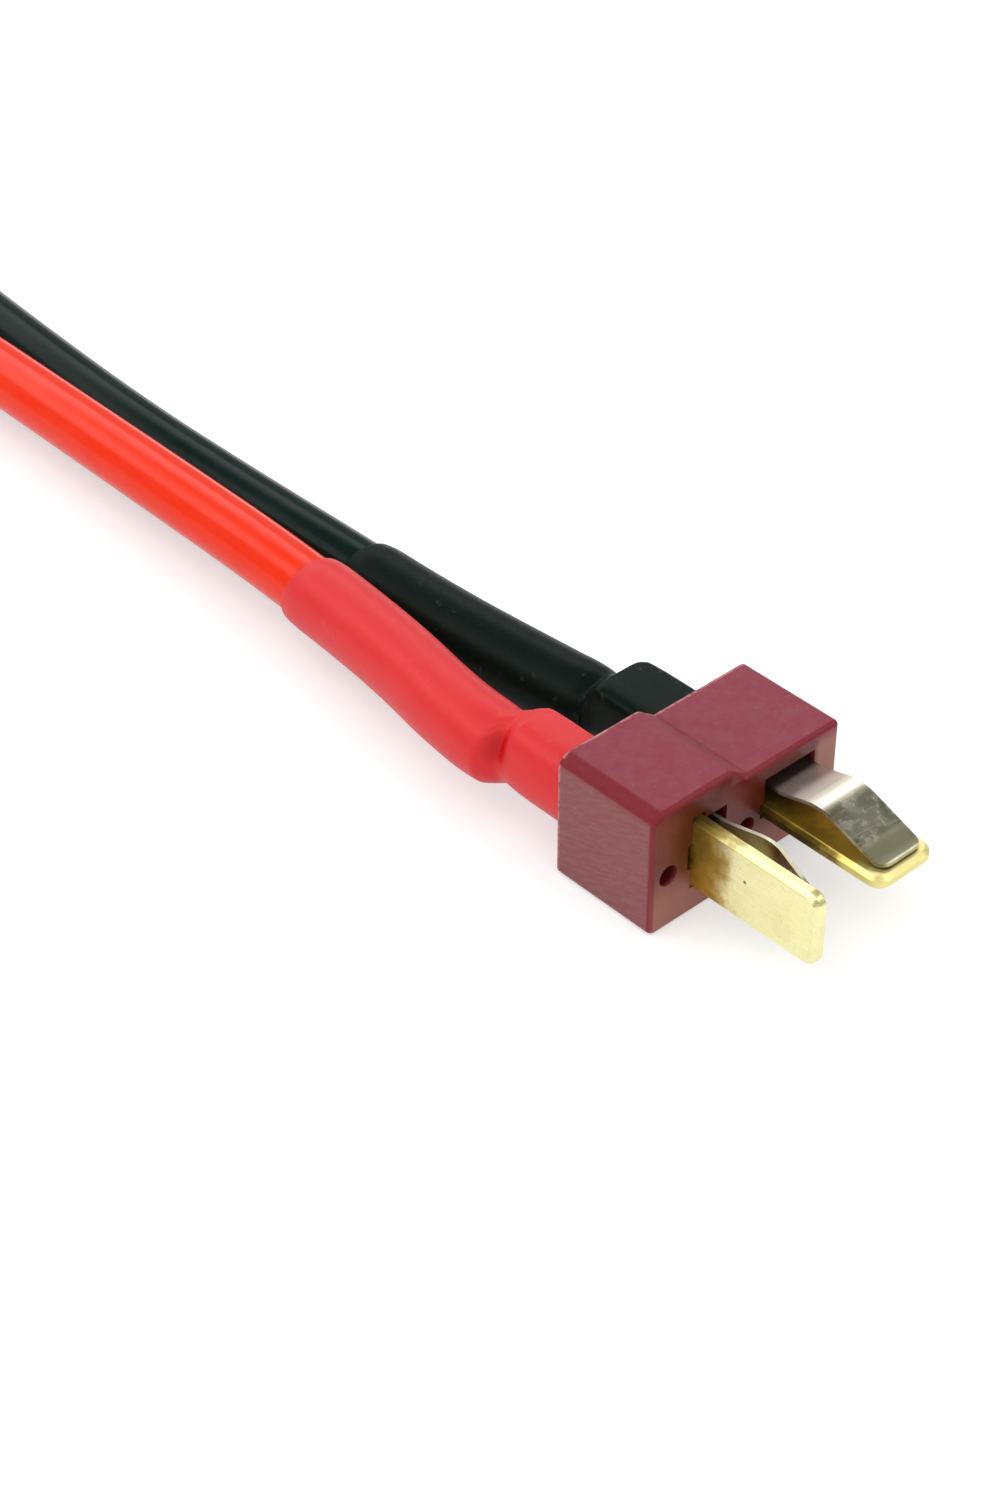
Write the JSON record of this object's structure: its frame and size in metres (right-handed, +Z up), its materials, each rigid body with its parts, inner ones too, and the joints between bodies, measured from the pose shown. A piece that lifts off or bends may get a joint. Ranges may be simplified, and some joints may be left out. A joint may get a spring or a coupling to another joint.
{
  "type": "t plug battery connector pigtail",
  "caption": "Male T plug with an upright and a flat sprung blade in a stepped red housing, on short red and black silicone wires in heat-shrink sleeves with bare ends.",
  "frame": {"origin": "on the surface the plug lies on, under the middle of the plug's bounding box without its wires and sleeves", "axes": "-Y the way the blades point into the socket, +Y towards the wires, +X from the tall half to the low half, +Z up"},
  "size_m": [0.0164, 0.1179, 0.009],
  "materials": {
    "housing_nylon": "moulded nylon, dusty red, fine scuffs",
    "blade_metal": "gold-coloured plating, satin",
    "leaf_metal": "spring alloy, gold-coloured plating, lightly smudged",
    "solder": "solidified solder, semi-gloss",
    "tinned_copper": "fine stranded copper, tinned at the free end",
    "red_silicone": "silicone rubber, semi-matte",
    "black_silicone": "silicone rubber, semi-matte",
    "red_sleeve": "shrunk polyolefin, slightly translucent",
    "black_sleeve": "shrunk polyolefin, glossy"
  },
  "bodies": {
    "plug": {"housing": "housing_nylon", "upright_blade": "blade_metal", "flat_blade": "blade_metal", "red_solder_joint": "solder", "black_solder_joint": "solder", "red_conductor": "tinned_copper", "red_insulation": "red_silicone", "red_heat_shrink": "red_sleeve", "black_conductor": "tinned_copper", "black_insulation": "black_silicone", "black_heat_shrink": "black_sleeve"},
    "upright_leaf": {"upright_leaf_spring": "leaf_metal"},
    "flat_leaf": {"flat_leaf_spring": "leaf_metal"}
  },
  "joints": [
    {"name": "upright_leaf_flex", "type": "hinge", "parent": "plug", "child": "upright_leaf", "pos_m": [-0.00356, -0.0102, 0.0046], "axis": [0, 0, 1], "range_deg": [0, 3.4], "stiffness_Nm_per_rad": 0.3},
    {"name": "flat_leaf_flex", "type": "hinge", "parent": "plug", "child": "flat_leaf", "pos_m": [0.00386, -0.0102, 0.00504], "axis": [-1, 0, 0], "range_deg": [0, 3.4], "stiffness_Nm_per_rad": 0.3}
  ]
}
